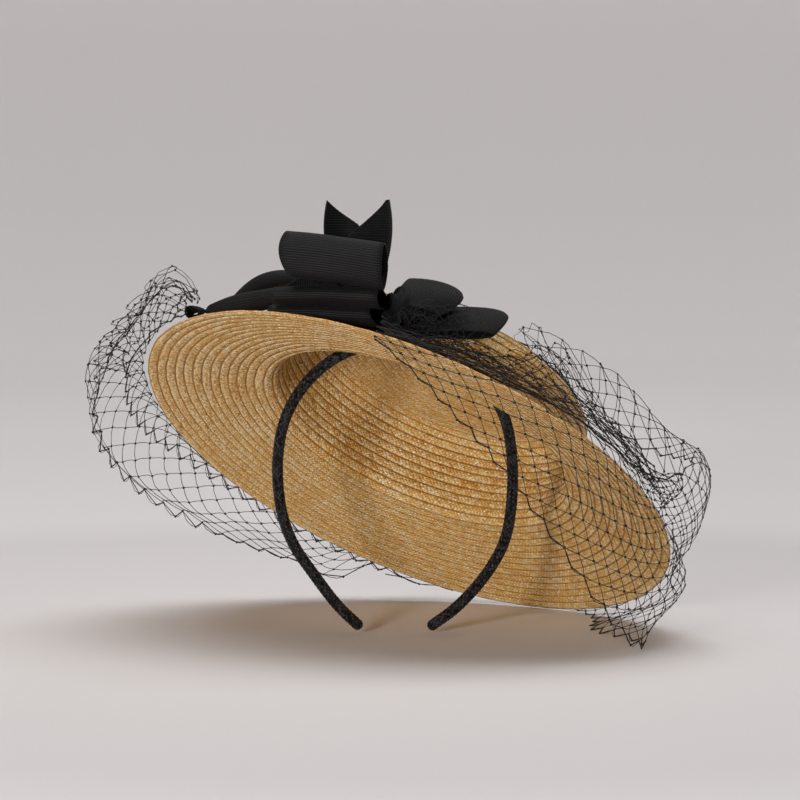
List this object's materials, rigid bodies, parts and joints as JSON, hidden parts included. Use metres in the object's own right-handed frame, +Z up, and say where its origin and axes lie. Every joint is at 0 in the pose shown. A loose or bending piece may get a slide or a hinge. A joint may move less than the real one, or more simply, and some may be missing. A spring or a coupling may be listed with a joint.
{
  "type": "fascinator",
  "caption": "Shallow wide-brimmed straw saucer hat on a covered headband, trimmed with a black ribbon bow and a rolled net veil.",
  "frame": {"origin": "middle of the bounding box at table height", "axes": "+Z up from the table; +X towards the low side of the brim, along the longest extent; -Y towards the bow's front"},
  "size_m": [0.3418, 0.2894, 0.2346],
  "materials": {
    "straw": "satin",
    "band": "woven cover",
    "ribbon": "matte ribbed",
    "net": "open net"
  },
  "bodies": {
    "root": {"straw_hat": "straw", "headband": "band", "loop_top_roll": "ribbon", "loop_middle": "ribbon", "loop_lower": "ribbon", "loop_left": "ribbon", "loop_left_back": "ribbon", "loop_left_end": "ribbon", "loop_right_upper": "ribbon", "loop_right_lower": "ribbon", "bow_tail": "ribbon", "bow_knot": "ribbon", "veil": "net"}
  },
  "joints": []
}
